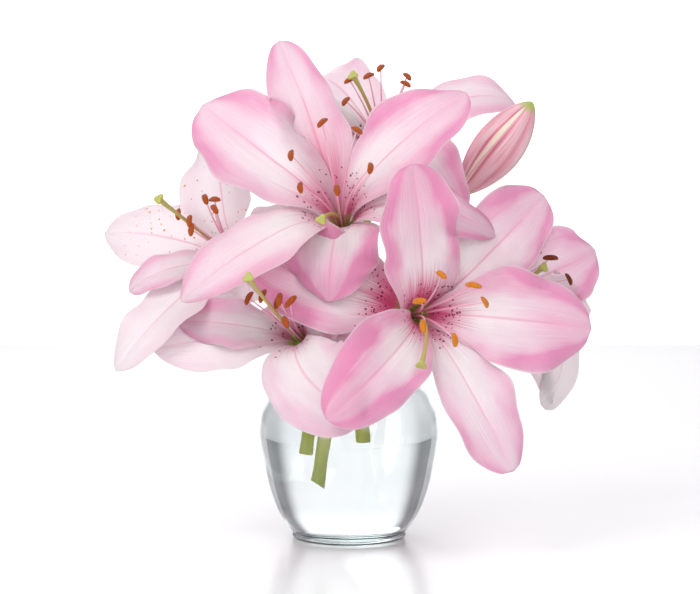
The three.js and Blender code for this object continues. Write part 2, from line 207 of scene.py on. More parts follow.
def petalMaterial(name):
    # petalMap holds (across 0..1, along 0..1), petalSize holds the same in metres, and petalTone
    # holds how pink the petal is, whether this is its underside, how much pollen lies on it and
    # how far the deep flush reaches from the throat, long on some petals to paint shade into the heart of the flower
    material, tree = newMaterial(name)
    shader = shaderOf(tree)
    across, along, _ = uvOf(tree, "petalMap")
    sizeX, sizeY, _ = uvOf(tree, "petalSize")
    toneNode = tree.nodes.new("ShaderNodeAttribute")
    toneNode.attribute_name = "petalTone"
    blush, under, pollen = split(tree, toneNode.outputs["Vector"])
    flushAndShadeReach = toneNode.outputs["Alpha"]

    fromMiddle = calc(tree, "ABSOLUTE", calc(tree, "MULTIPLY_ADD", across, 2.0, -1.0))
    seed = calc(tree, "MULTIPLY", blush, 37.0)
    soft = noise(tree, vector(tree, calc(tree, "MULTIPLY", sizeX, 60.0), calc(tree, "MULTIPLY", sizeY, 25.0),
                              seed), 1.0, 2.0)
    streak = noise(tree, vector(tree, calc(tree, "MULTIPLY", across, 80.0),
                                calc(tree, "MULTIPLY", along, 2.0), seed), 1.0, 3.0, 0.6)
    vein = noise(tree, vector(tree, calc(tree, "MULTIPLY", across, 120.0),
                              calc(tree, "MULTIPLY", along, 3.0), seed), 1.0, 1.0)

    # pink towards the margins and the tip, white along the middle
    place = calc(tree, "ADD", fromMiddle, calc(tree, "MULTIPLY_ADD", soft, 0.7, -0.35))
    side = ease(tree, place, 0.3, 1.0)
    tip = ease(tree, calc(tree, "MULTIPLY_ADD", soft, 0.4, along), 0.45, 1.1, 0.0, 0.7)
    pinkness = calc(tree, "ADD", calc(tree, "MULTIPLY", side, ease(tree, along, 0.1, 0.5, 0.45, 0.8)), tip)
    pinkness = calc(tree, "ADD", pinkness, calc(tree, "MULTIPLY_ADD", streak, 0.42, -0.24))
    pinkness = calc(tree, "MULTIPLY", pinkness, blush, clampIt=True)
    color = blendColor(tree, pinkness, petalLook["white"], petalLook["pink"])

    # a deeper line along the groove in the middle
    groove = calc(tree, "MULTIPLY", ease(tree, fromMiddle, 0.0, 0.05, 0.4, 0.0), ease(tree, along, 0.5,
                                                                                      0.95, 1.0, 0.2))
    color = blendColor(tree, groove, color, petalLook["flushAndShade"])

    # deep flush that runs out of the throat in rays: the lily's own colour, plus painted shade where a petal's reach
    # is long, keeping the shaded heart of the flower a deep pink
    reach = calc(tree, "ADD", along, calc(tree, "MULTIPLY_ADD", streak, 0.42, -0.22))
    flushAndShade = ease(tree, calc(tree, "DIVIDE", reach, flushAndShadeReach), 0.2, 1.0, 1.0, 0.0)
    flushAndShade = calc(tree, "MULTIPLY", flushAndShade, ease(tree, fromMiddle, 0.35, 1.0, 1.0, 0.35))
    flushAndShade = calc(tree, "MULTIPLY", flushAndShade, calc(tree, "MULTIPLY_ADD", blush, 0.85, 0.25), clampIt=True)
    color = blendColor(tree, flushAndShade, color, petalLook["flushAndShade"])
    deep = ease(tree, along, 0.03, 0.12, 1.0, 0.0)
    color = blendColor(tree, deep, color, petalLook["throat"])

    # small dark spots round the throat
    spotCoords = vector(tree, sizeX, sizeY, calc(tree, "MULTIPLY", seed, 0.001))
    spotDistance, spotRandom = cells(tree, spotCoords, 1.0 / petalLook["spotSize"])
    spotSize = calc(tree, "MULTIPLY_ADD", spotRandom[1], 0.16, 0.20)
    dot = calc(tree, "LESS_THAN", spotDistance, spotSize)
    spotZone = calc(tree, "MULTIPLY", ease(tree, along, 0.10, 0.16), ease(tree, along, 0.22, 0.34, 1.0, 0.0))
    spotZone = calc(tree, "MULTIPLY", spotZone, ease(tree, fromMiddle, 0.55, 1.0, 1.0, 0.2))
    shown = calc(tree, "LESS_THAN", spotRandom[0], calc(tree, "MULTIPLY", spotZone, 0.85))
    spots = calc(tree, "MULTIPLY", dot, shown)
    spots = calc(tree, "MULTIPLY", spots, ease(tree, blush, 0.15, 0.5, 0.25, 0.92))

    # pollen fallen on the face
    fleckDistance, fleckRandom = cells(tree, spotCoords, 1.0 / (3.1 * mm))
    fleck = calc(tree, "LESS_THAN", fleckDistance, calc(tree, "MULTIPLY_ADD", fleckRandom[1], 0.16, 0.08))
    fleck = calc(tree, "MULTIPLY", fleck, calc(tree, "LESS_THAN", fleckRandom[0], pollen))
    fleck = calc(tree, "MULTIPLY", fleck, ease(tree, along, 0.7, 0.9, 1.0, 0.0))
    color = blendColor(tree, fleck, color, petalLook["pollen"])
    color = blendColor(tree, spots, color, petalLook["spot"])

    # the underside is plainer, with a green middle towards the stalk
    back = blendColor(tree, calc(tree, "MULTIPLY", side, blush), petalLook["under"], petalLook["pink"])
    greenRib = calc(tree, "MULTIPLY", ease(tree, fromMiddle, 0.05, 0.22, 1.0, 0.0),
                    ease(tree, along, 0.1, 0.7, 0.6, 0.0))
    back = blendColor(tree, greenRib, back, petalLook["greenRib"])
    color = blendColor(tree, under, color, back)

    # thin pale rim
    rim = ease(tree, fromMiddle, 0.955, 0.995)
    color = blendColor(tree, calc(tree, "MULTIPLY", rim, 0.5), color, petalLook["rim"])

    normal = bump(tree, streak, 0.8, 0.45 * mm)
    normal = bump(tree, vein, 0.35, 0.12 * mm, normal)
    normal = bump(tree, spots, 0.6, 0.25 * mm, normal)
    put(tree, shader.inputs["Base Color"], color)
    put(tree, shader.inputs["Normal"], normal)
    put(tree, shader.inputs["Roughness"], calc(tree, "MULTIPLY_ADD", streak, 0.2, 0.38))
    shader.inputs["Specular IOR Level"].default_value = 0.35
    shader.inputs["Sheen Weight"].default_value = 0.12
    shader.inputs["Sheen Roughness"].default_value = 0.4
    shader.inputs["Subsurface Weight"].default_value = 0.6
    shader.inputs["Subsurface Radius"].default_value = (1.0, 0.72, 0.8)
    shader.inputs["Subsurface Scale"].default_value = 3.5 * mm
    return material

def plainMaterial(name, dark, light, scale, roughness, grain=0.0, grainScale=900.0, stretch=(1, 1, 1)):
    # two tones mixed by soft noise, with a fine grain in the surface
    material, tree = newMaterial(name)
    shader = shaderOf(tree)
    x, y, z = split(tree, objectCoords(tree))
    coords = vector(tree, calc(tree, "MULTIPLY", x, stretch[0]), calc(tree, "MULTIPLY", y, stretch[1]),
                    calc(tree, "MULTIPLY", z, stretch[2]))
    tone = ease(tree, noise(tree, coords, scale, 3.0), 0.3, 0.7)
    put(tree, shader.inputs["Base Color"], blendColor(tree, tone, dark, light))
    put(tree, shader.inputs["Roughness"], calc(tree, "MULTIPLY_ADD", tone, 0.12, roughness - 0.06))
    if grain:
        put(tree, shader.inputs["Normal"], bump(tree, noise(tree, coords, grainScale, 2.0), 0.8, grain))
    return material


stemShadedAboveWater = (0.24, 0.38, 0.07)  # the stem from the water line up: painted shade, a darker and greener shaded copy of the stem
glassDepth = 9.0  # how quickly a thick part of the glass takes on its tint, per metre


def stemMaterial():
    material = plainMaterial("stemGreen", (0.58, 0.70, 0.02), (0.90, 0.95, 0.07), 90.0, 0.42, 0.15 * mm,
                             420.0, (1, 1, 0.15))
    tree = material.node_tree
    shader = shaderOf(tree)
    # painted light: the stem's two bright greens are its lit copy below the water line, lighter and yellower than
    # the shaded copy above
    stemLitUnderWater = shader.inputs["Base Color"].links[0].from_socket
    shadeAboveWater = ease(tree, split(tree, objectCoords(tree))[2], 0.085, 0.11, 0.0, 0.75)  # painted shade: darker and greener from the water line up
    put(tree, shader.inputs["Base Color"], blendColor(tree, shadeAboveWater, stemLitUnderWater, stemShadedAboveWater))
    shader.inputs["Subsurface Weight"].default_value = 0.12
    shader.inputs["Subsurface Radius"].default_value = (0.6, 1.0, 0.2)
    shader.inputs["Subsurface Scale"].default_value = 1.5 * mm
    return material


def pollenMaterial(name, dark, light):
    # dusty grains: a fine cell pattern in colour and relief
    material, tree = newMaterial(name)
    shader = shaderOf(tree)
    coords = objectCoords(tree)
    grainDistance, grainRandom = cells(tree, coords, 4200.0)
    tone = calc(tree, "MULTIPLY_ADD", grainRandom[0], 0.55, calc(tree, "MULTIPLY", noise(tree, coords,
                                                                                         700.0), 0.45))
    put(tree, shader.inputs["Base Color"], blendColor(tree, tone, dark, light))
    put(tree, shader.inputs["Normal"], bump(tree, grainDistance, 0.7, 0.12 * mm))
    shader.inputs["Roughness"].default_value = 0.92
    shader.inputs["Specular IOR Level"].default_value = 0.15
    shader.inputs["Sheen Weight"].default_value = 0.25
    return material


def alongMaterial(name, stops, streaks, roughness):
    # colours at places along a piece, from its map's second coordinate, with fine streaks
    material, tree = newMaterial(name)
    shader = shaderOf(tree)
    across, along, _ = uvOf(tree, "pieceMap")
    streak = noise(tree, vector(tree, calc(tree, "MULTIPLY", across, streaks),
                                calc(tree, "MULTIPLY", along, 3.0)), 1.0, 3.0)
    place = calc(tree, "MULTIPLY_ADD", streak, 0.12, calc(tree, "SUBTRACT", along, 0.06))
    color = stops[0][1]
    for (start, _), (end, tint) in zip(stops, stops[1:]):
        color = blendColor(tree, ease(tree, place, start, end), color, tint)
    put(tree, shader.inputs["Base Color"], color)
    put(tree, shader.inputs["Normal"], bump(tree, streak, 0.4, 0.15 * mm))
    put(tree, shader.inputs["Roughness"], calc(tree, "MULTIPLY_ADD", streak, 0.15, roughness))
    shader.inputs["Subsurface Weight"].default_value = 0.2
    shader.inputs["Subsurface Radius"].default_value = (1.0, 0.6, 0.5)
    shader.inputs["Subsurface Scale"].default_value = 1.2 * mm
    return material


def clearMaterial(name, tint, ior, ripple, absorb=None):
    # clear, with the faintest waviness in the surface; absorb is the tint of a thick part
    material, tree = newMaterial(name)
    shader = shaderOf(tree)
    wave = noise(tree, objectCoords(tree), 28.0, 1.0)
    put(tree, shader.inputs["Normal"], bump(tree, wave, 0.25, ripple))
    shader.inputs["Base Color"].default_value = (*tint, 1)
    shader.inputs["Roughness"].default_value = 0.0
    shader.inputs["IOR"].default_value = ior
    shader.inputs["Transmission Weight"].default_value = 1.0
    if absorb:
        depth = tree.nodes.new("ShaderNodeVolumeAbsorption")
        depth.inputs["Color"].default_value = (*absorb, 1)
        depth.inputs["Density"].default_value = glassDepth
        tree.links.new(depth.outputs[0], tree.nodes["Material Output"].inputs["Volume"])
    return material


petalSkin = petalMaterial("petalSkin")
stemGreen = stemMaterial()
rustPollen = pollenMaterial("rustPollen", (0.22, 0.030, 0.004), (0.55, 0.115, 0.012))
amberPollen = pollenMaterial("amberPollen", (0.48, 0.11, 0.006), (0.78, 0.30, 0.015))
brownPollen = pollenMaterial("brownPollen", (0.10, 0.012, 0.006), (0.30, 0.06, 0.015))
filamentPink = alongMaterial("filamentPink", [(0.0, (0.50, 0.55, 0.20)), (0.12, (0.72, 0.42, 0.35)),
                                              (0.3, (0.83, 0.35, 0.50)), (1.0, (0.88, 0.52, 0.62))], 5.0, 0.4)
pistilOlive = alongMaterial("pistilOlive", [(0.0, (0.22, 0.33, 0.06)), (0.2, (0.34, 0.38, 0.10)),
                                            (0.6, (0.50, 0.36, 0.12)), (0.93, (0.46, 0.44, 0.12)),
                                            (1.0, (0.47, 0.48, 0.12))], 9.0, 0.35)
vaseGlass = clearMaterial("vaseGlass", (0.99, 0.995, 0.995), 1.5, 0.03 * mm, (0.35, 0.62, 0.64))
vaseWater = clearMaterial("vaseWater", (0.915, 0.955, 0.957), 1.333, 0.005 * mm)
print("materials made")

def gridFaces(rows, columns, wrap=False):
    # quads of a grid of points, row by row; wrap joins the last column to the first
    i, j = np.meshgrid(np.arange(rows - 1), np.arange(columns if wrap else columns - 1), indexing="ij")
    nextJ = (j + 1) % columns
    quads = np.stack([i * columns + j, i * columns + nextJ, (i + 1) * columns + nextJ,
                      (i + 1) * columns + j], -1)
    return quads.reshape(-1, 4)


def makePiece(name, points, faces, materials, maps=None, tones=None, faceMaterials=None, weld=1e-7):
    # one mesh object from arrays; maps are UV maps per point, tones a colour per point
    mesh = bpy.data.meshes.new(name)
    mesh.from_pydata(points.reshape(-1, 3) * mm, [], faces)
    loopPoints = np.empty(len(mesh.loops), dtype=np.int32)
    mesh.loops.foreach_get("vertex_index", loopPoints)
    for mapName, uv in (maps or {}).items():
        layer = mesh.uv_layers.new(name=mapName)
        layer.data.foreach_set("uv", uv.reshape(-1, 2)[loopPoints].astype(np.float32).ravel())
    if tones is not None:
        layer = mesh.color_attributes.new("petalTone", "FLOAT_COLOR", "POINT")
        layer.data.foreach_set("color", tones.reshape(-1, 4).astype(np.float32).ravel())
    for material in materials:
        mesh.materials.append(material)
    if faceMaterials is not None:
        mesh.polygons.foreach_set("material_index", faceMaterials.astype(np.int32))
    cleaned = bmesh.new()
    cleaned.from_mesh(mesh)
    bmesh.ops.remove_doubles(cleaned, verts=cleaned.verts, dist=weld)
    bmesh.ops.dissolve_degenerate(cleaned, edges=cleaned.edges, dist=weld)
    bmesh.ops.recalc_face_normals(cleaned, faces=cleaned.faces)
    cleaned.to_mesh(mesh)
    cleaned.free()
    mesh.polygons.foreach_set("use_smooth", np.ones(len(mesh.polygons), dtype=bool))
    piece = bpy.data.objects.new(name, mesh)
    scene.collection.objects.link(piece)
    return piece


def settle(piece, slotName, *nodes):
    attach(piece, "root")
    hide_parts(*nodes)


def unit(v):
    return v / np.maximum(np.linalg.norm(v, axis=-1, keepdims=True), 1e-12)


def smooth(low, high, x):
    # 0 below low, 1 above high, and an S curve between them
    u = np.clip((x - low) / (high - low), 0, 1)
    return u * u * (3 - 2 * u)


def curveThrough(points, count):
    # a smooth line through the points: cubic pieces whose slope at a point is half the chord round it
    p = np.array(points, float)
    padded = np.vstack([2 * p[0] - p[1], p, 2 * p[-1] - p[-2]])
    where = np.linspace(0, len(p) - 1, count)
    k = np.minimum(where.astype(int), len(p) - 2)
    f = (where - k)[:, None]
    a, b, c, d = padded[k], padded[k + 1], padded[k + 2], padded[k + 3]
    return 0.5 * (2 * b + (c - a) * f + (2 * a - 5 * b + 4 * c - d) * f ** 2 + (3 * b - a - 3 * c + d) * f ** 3)


def sectionAxes(path):
    # two directions across a path at each of its points
    tangent = unit(np.gradient(path, axis=0))
    chord = np.abs(path[-1] - path[0])
    helper = np.eye(3)[np.argmin(chord)]
    sideways = unit(np.cross(tangent, helper))
    return tangent, sideways, np.cross(sideways, tangent)


def tubeGrid(path, radii, sides, lobes=0, lobeDepth=0.0):
    # rings of the given radii along a path, closed to a point at both ends; lobes wave the section
    tangent, sideways, upright = sectionAxes(path)
    angle = np.linspace(0, 2 * np.pi, sides, endpoint=False)
    wave = 1 + lobeDepth * np.cos(lobes * angle)
    ring = (sideways[:, None] * np.cos(angle)[:, None] + upright[:, None] * np.sin(angle)[:, None])
    grid = path[:, None] + ring * (radii[:, None] * wave)[..., None]
    return np.concatenate([path[:1, None].repeat(sides, 1), grid, path[-1:, None].repeat(sides, 1)])


def ringMap(rows, sides):
    u = np.linspace(0, 1, sides, endpoint=False)
    v = np.linspace(0, 1, rows)
    return np.stack(np.meshgrid(u, v), -1)


class Bundle:
    # several grids gathered into one piece
    def __init__(self):
        self.points, self.faces, self.maps, self.slots, self.count = [], [], [], [], 0

    def add(self, grid, slotIndex=0, mapping=None):
        rows, columns = grid.shape[:2]
        quads = gridFaces(rows, columns, wrap=True)
        self.points.append(grid.reshape(-1, 3))
        self.faces.append(quads + self.count)
        self.maps.append((ringMap(rows, columns) if mapping is None else mapping).reshape(-1, 2))
        self.slots.append(np.full(len(quads), slotIndex))
        self.count += rows * columns

    def piece(self, name, materials):
        return makePiece(name, np.concatenate(self.points), np.concatenate(self.faces).tolist(), materials,
                         maps={"pieceMap": np.concatenate(self.maps)},
                         faceMaterials=np.concatenate(self.slots))

# Inner petals are broad and outer petals (the sepals) narrower. Lengths in mm, angles in degrees.
kinds = {
    "petal": {"width": 50, "length": 108, "r0": 3.4, "claw": 0.13, "peak": 0.56, "tip": 0.52, "cup0": 52,
              "cup": 20,
              "roll": -14, "keel": 0.05, "throat": 16, "ruffle": 0.15},
    "sepal": {"width": 36, "length": 112, "r0": 5.4, "claw": 0.2, "peak": 0.5, "tip": 0.66, "cup0": 40,
              "cup": 12,
              "roll": -10, "keel": 0.045, "throat": 20, "ruffle": 0.12},
}
# reach is how far the deep flush runs from the throat; the long reach on some petals paints shade into the heart of
# the flower
petalDefaults = {"bend": 0, "waves": 1.5, "phase": 0.0, "blush": 0.85, "pollen": 0.0, "twist": 0,
                 "wavy": 0.065, "reach": 0.38}

# A petal: at is its place round the flower seen from the front (0 right, 90 up), open its lean from the
# flower's axis, curl the extra lean at the end and bend its sideways sweep.
# A stamen: [at, spread, length, lie], where lie turns the anther in the flower's face.
flowers = {
    "top": {
        "base": (-4, -34, 187), "turn": -8, "rise": 36, "blush": 0.9, "pollen": "rust", "nod": 18,
        "petals": [
            {"kind": "petal", "at": 37, "open": 62, "curl": 30, "length": 113},
            {"kind": "petal", "at": 157, "open": 62, "curl": 30, "length": 114, "bend": -16, "width": 62,
             "peak": 0.6,
             "tip": 0.42, "wavy": 0.09, "phase": 0.6, "blush": 0.75,
             "reach": 0.5},
            {"kind": "petal", "at": 268, "open": 82, "curl": 60, "length": 67, "width": 60, "peak": 0.5,
             "tip": 0.75, "ruffle": 0.2,
             "wavy": 0.1, "blush": 1.15, "reach": 0.3},
            {"kind": "sepal", "at": 110, "open": 66, "curl": 10, "bend": 5, "width": 40, "length": 117,
             "tip": 0.5, "twist": 12, "blush": 0.7,
             "reach": 0.8},
            {"kind": "sepal", "at": 223, "open": 78, "curl": 30, "length": 122, "width": 38, "twist": -14,
             "blush": 0.6,
             "wavy": 0.09},
            {"kind": "sepal", "at": -5, "open": 88, "curl": 64, "length": 108},
        ],
        "stamens": [(102, 20, 73, 70), (52, 20, 72, 125), (167, 20, 67, 105), (0, 22, 62, 80), (215, 20, 58,
                                                                                                110),
                    (290, 13, 55, 100)],
        "style": (-100, 34, 52),
    },
    "right": {
        "base": (37, -46, 137), "turn": 22, "rise": 8, "blush": 0.85, "pollen": "amber", "nod": 46,
        "petals": [
            {"kind": "petal", "at": 107, "open": 60, "curl": 25, "length": 102, "bend": -6, "width": 52,
             "claw": 0.6, "blush": 1.0, "reach": 0.45},
            {"kind": "petal", "at": -9, "open": 66, "curl": 25, "width": 58, "peak": 0.58, "tip": 0.44,
             "blush": 1.0,
             "phase": 2.0, "reach": 0.42},
            {"kind": "petal", "at": 218, "open": 66, "curl": 35, "length": 115, "blush": 1.1, "twist": 8,
             "reach": 0.42},
            {"kind": "sepal", "at": 41, "open": 90, "curl": 20, "width": 52, "length": 114, "bend": -2,
             "tip": 0.45},
            {"kind": "sepal", "at": -74, "open": 66, "curl": 20, "length": 114, "width": 42, "bend": 6,
             "peak": 0.6, "tip": 0.42,
             "wavy": 0.08, "blush": 0.7},
            {"kind": "sepal", "at": 158, "open": 115, "curl": 0, "width": 60, "claw": 0.4, "length": 110,
             "cup0": 20, "cup": 0, "throat": 60,
             "blush": 1.2},
        ],
        "stamens": [(115, 18, 62, 110), (45, 14, 62, 140), (5, 16, 62, 60), (-97, 18, 62, 75), (171, 21, 60,
                                                                                                175),
                    (209, 22, 60, 100)],
        "style": (-122, 40, 67),
    },
    "low": {
        "base": (-27, -40, 121), "turn": -22, "rise": 24, "blush": 0.7, "pollen": "rust", "nod": 18,
        "petals": [
            {"kind": "petal", "at": -62, "open": 66, "curl": 40, "width": 54, "bend": 38, "length": 104,
             "blush": 0.5},
            {"kind": "petal", "at": 183, "open": 60, "curl": 30, "length": 76, "width": 30},
            {"kind": "petal", "at": 50, "open": 60, "curl": 20, "length": 44},
            {"kind": "sepal", "at": 195, "open": 70, "curl": 20, "width": 42, "length": 88, "blush": 0.25},
            {"kind": "sepal", "at": 110, "open": 88, "curl": 20, "length": 32},
            {"kind": "sepal", "at": 0, "open": 90, "curl": 20, "length": 50},
        ],
        "stamens": [(155, 13, 56, 90), (120, 8, 54, 90), (50, 8, 52, 100), (30, 14, 50, 60), (-30, 12, 48,
                                                                                              120),
                    (80, 8, 45, 90)],
        "style": (100, 6, 82),
    },
    "left": {
        "base": (-62, -8, 164), "turn": -35, "rise": 26, "blush": 0.22, "pollen": "rust", "nod": 14,
        "petals": [
            {"kind": "petal", "at": 222, "open": 42, "curl": 60, "width": 26, "length": 76, "blush": 0.6},
            {"kind": "petal", "at": 98, "open": 60, "curl": 30, "length": 90, "pollen": 0.5},
            {"kind": "petal", "at": -50, "open": 100, "curl": 20, "length": 30, "bend": -20},
            {"kind": "sepal", "at": 174, "open": 66, "curl": 30, "width": 44, "length": 92, "bend": 10,
             "pollen": 0.5},
            {"kind": "sepal", "at": 256, "open": 66, "curl": 30, "width": 44, "length": 108, "bend": -12},
            {"kind": "sepal", "at": 35, "open": 100, "curl": 20, "length": 60},
        ],
        "stamens": [(145, 6, 62, 120), (0, 2, 62, 115), (-38, 7, 62, 110), (61, 16, 62, 125), (47, 20, 62,
                                                                                               168),
                    (28, 18, 62, 135)],
        "style": (140, 4, 84),
    },
    "back": {
        "base": (21, 26, 227), "turn": -4, "rise": 42, "blush": 0.55, "pollen": "rust", "nod": 20,
        "petals": [
            {"kind": "petal", "at": 130, "open": 68, "curl": 90, "length": 88},
            {"kind": "petal", "at": -57, "open": 80, "curl": 30, "length": 98, "blush": 0.9},
            {"kind": "petal", "at": 238, "open": 105, "curl": 20, "length": 70},
            {"kind": "sepal", "at": 17, "open": 66, "curl": 90, "length": 106},
            {"kind": "sepal", "at": 172, "open": 66, "curl": 30, "length": 90},
            {"kind": "sepal", "at": -105, "open": 84, "curl": 20, "length": 64},
        ],
        "stamens": [(150, 20, 62, 60), (120, 12, 62, 60), (90, 20, 62, 75), (40, 20, 62, 105), (20, 15, 62,
                                                                                                120),
                    (200, 20, 62, 80)],
        "style": (180, 13, 75),
    },
    "far": {
        "base": (81, 30, 141), "turn": 42, "rise": 14, "blush": 0.4, "pollen": "brown", "nod": 30,
        "petals": [
            {"kind": "petal", "at": 18, "open": 50, "curl": 50, "length": 84, "blush": 0.95},
            {"kind": "petal", "at": 165, "open": 60, "curl": 40, "length": 62},
            {"kind": "petal", "at": -34, "open": 75, "curl": 30, "length": 110, "bend": -120, "width": 30,
             "blush": 0.1},
            {"kind": "sepal", "at": 72, "open": 45, "curl": 40, "length": 74},
            {"kind": "sepal", "at": -18, "open": 40, "curl": 60, "length": 70},
            {"kind": "sepal", "at": -84, "open": 65, "curl": 30, "length": 82, "width": 22, "blush": 0.2},
        ],
        "stamens": [(170, 15, 62, 0), (110, 18, 62, 10), (80, 12, 62, 160), (0, 14, 62, 60), (-60, 14, 62,
                                                                                              100),
                    (-120, 14, 62, 90)],
        "style": (125, 10, 62),
    },
}


def axesOf(flower):
    # right, up and forward of a flower that faces turn degrees right of the front and rise degrees up
    turn, rise = math.radians(flower["turn"]), math.radians(flower["rise"])
    forward = np.array([math.sin(turn) * math.cos(rise), -math.cos(turn) * math.cos(rise), math.sin(rise)])
    right = np.array([math.cos(turn), math.sin(turn), 0.0])
    return right, np.cross(forward, right), forward


def roundTheAxis(flower, degrees):
    right, up, _ = axesOf(flower)
    return math.cos(math.radians(degrees)) * right + math.sin(math.radians(degrees)) * up

petalMesh = {"rows": 72, "columns": 30, "thick": 0.62, "edge": 0.10, "rib": 0.9}


def petalSurface(flower, petal, rows, columns):
    # The middle line leaves the axis at the throat angle, leans out to open and then by curl more, and
    # sweeps sideways by bend. Across it the blade is an arc: x = h sin(c t) / c, lift = h (1 - cos(c t)) / c,
    # with h the half width and c the cup angle, less a groove along the middle and plus ruffles at
    # the margin.
    _, _, forward = axesOf(flower)
    radial, across = roundTheAxis(flower, petal["at"]), roundTheAxis(flower, petal["at"] + 90)
    s = np.linspace(0, 1, rows)
    t = np.sin(np.pi / 2 * np.linspace(-1, 1, columns))
    lean = np.radians(petal["throat"] + (petal["open"] - petal["throat"]) * smooth(0.02, 0.48, s)
                      + petal["curl"] * np.clip((s - 0.4) / 0.6, 0, 1) ** 1.4)[:, None]
    sweep = np.radians(petal["bend"] * smooth(0.15, 1, s))[:, None]
    turnOver = np.radians(petal["twist"] * smooth(0.25, 1, s))[:, None]
    outward = np.cos(lean) * forward + np.sin(lean) * radial
    along = np.cos(sweep) * outward + np.sin(sweep) * across
    side = -np.sin(sweep) * outward + np.cos(sweep) * across
    face = np.sin(lean) * forward - np.cos(lean) * radial
    side, face = np.cos(turnOver) * side + np.sin(turnOver) * face, np.cos(turnOver) * face - np.sin(turnOver) * side
    steps = (along[1:] + along[:-1]) / 2 * petal["length"] / (rows - 1)
    line = np.concatenate([np.zeros((1, 3)), np.cumsum(steps,
                                                       0)]) + np.array(flower["base"]) + radial * petal["r0"]
    end = np.clip((s - petal["peak"]) / (1 - petal["peak"]), 0, 1)
    outline = (petal["claw"] + (1 - petal["claw"]) * smooth(0, petal["peak"],
                                                            s)) * (1 - end ** 2) ** petal["tip"]
    half = (petal["width"] / 2 * np.maximum(outline, 0.02))[:, None]
    cup = np.radians(petal["cup0"] + (petal["cup"] - petal["cup0"]) * smooth(0, 0.4, s)
                     + (petal["roll"] - petal["cup"]) * smooth(0.4, 1, s))[:, None]
    cup = np.where(np.abs(cup) < 1e-3, 1e-3, cup)
    x = half * np.sin(cup * t) / cup
    sway = 8.5 * s[:, None] + petal["phase"] + 2.3 * (t > 0)
    x *= 1 + petal["wavy"] * t ** 2 * (np.sin(sway) + 0.45 * np.sin(2.3 * sway + 1.0))
    lift = half * (1 - np.cos(cup * t)) / cup
    lift -= petal["keel"] * half * np.exp(-(t / 0.12) ** 2) * smooth(0.1, 0.3, s)[:, None]
    margin = np.abs(t) ** 3 * smooth(0.2, 0.5, s)[:, None]
    way = 2 * np.pi * petal["waves"] * s[:, None] + petal["phase"] + 1.3 * (t > 0)
    lift += petal["ruffle"] * half * margin * np.sin(way)
    lift += 0.5 * petal["ruffle"] * half * margin * np.sin(2.7 * way + 2.0)
    points = line[:, None] + x[..., None] * side[:, None] + lift[..., None] * face[:, None]
    return points, s, t, half


def petalPiece(flowerName, flower, number, row):
    petal = {**petalDefaults, **kinds[row["kind"]], "blush": flower["blush"], "phase": 1.7 * number, **row}
    rows, columns = petalMesh["rows"], petalMesh["columns"]
    points, s, t, half = petalSurface(flower, petal, rows, columns)
    normal = unit(np.cross(np.gradient(points, axis=1), np.gradient(points, axis=0)))
    faceWay = np.sin(np.radians(petal["throat"])) * axesOf(flower)[2] - roundTheAxis(flower, petal["at"])
    if (normal[2, columns // 2] @ faceWay) < 0:
        normal = -normal
    # thin at the margin, and with a rib under the middle that fades towards the tip
    body = petalMesh["edge"] + (petalMesh["thick"] - petalMesh["edge"]) * (1 - np.abs(t) ** 5) * np.ones((rows, 1))
    body *= (1 - 0.45 * s)[:, None]
    rib = petalMesh["rib"] * np.exp(-(t / 0.10) ** 2) * (1 - 0.8 * s)[:, None] * smooth(0, 0.15, s)[:, None]
    top = points + normal * (body / 2)[..., None]
    under = points - normal * (body / 2 + rib)[..., None]
    shell = np.concatenate([top, under[:, ::-1]], axis=1)
    across = np.concatenate([t, t[::-1]]) / 2 + 0.5
    size = np.concatenate([half * t, half * t[::-1]], axis=1) * mm
    petalMap = np.stack([np.broadcast_to(across, shell.shape[:2]), np.broadcast_to(s[:, None],
                                                                                   shell.shape[:2])], -1)
    sizeMap = np.stack([size, petalMap[..., 1] * petal["length"] * mm], -1)
    sizeMap = sizeMap + np.array([0.013 * number, 0.011 * number + 0.1 * len(flowerName)])
    isUnder = np.concatenate([np.zeros(columns), np.ones(columns)])
    tones = np.stack([np.full(shell.shape[:2], petal["blush"]), np.broadcast_to(isUnder, shell.shape[:2]),
                      np.full(shell.shape[:2], petal["pollen"]), np.full(shell.shape[:2], petal["reach"])],
                      -1)
    around = 2 * columns
    faces = gridFaces(rows, around, wrap=True).tolist()
    j = np.arange(columns - 1)
    low = np.stack([j, around - 1 - j, around - 2 - j, j + 1], -1)
    faces += low.tolist() + (low[:, ::-1] + (rows - 1) * around).tolist()
    name = f"{flowerName}_{row['kind']}_{number % 3 + 1}"
    piece = makePiece(f"{name}_skin", shell, faces, [petalSkin], {"petalMap": petalMap,
                                                                  "petalSize": sizeMap}, tones)
    settle(piece, "petal_pale" if flowerName in ("left", "far") else "petal_pink", name)
    return piece


for flowerName, flower in flowers.items():
    for number, row in enumerate(flower["petals"]):
        petalPiece(flowerName, flower, number, row)
print("petals made")

stamenShape = {"foot": 0.85, "end": 0.38, "antherLong": 5.0, "antherWide": 1.75, "antherDeep": 1.35,
               "rows": 26,
               "sides": 22}
pollenOf = {"rust": rustPollen, "amber": amberPollen, "brown": brownPollen}


def leaningPath(flower, at, spread, length, start, count):
    # leaves along the flower's axis and leans out towards its place, more at the end
    _, _, forward = axesOf(flower)
    radial = roundTheAxis(flower, at)
    s = np.linspace(0, 1, count)
    lean = np.radians(spread * 1.6 * s ** 0.8)[:, None]
    along = np.cos(lean) * forward + np.sin(lean) * radial
    steps = (along[1:] + along[:-1]) / 2 * length / (count - 1)
    return np.concatenate([np.zeros((1, 3)), np.cumsum(steps,
                                                       0)]) + np.array(flower["base"]) + radial * start, along


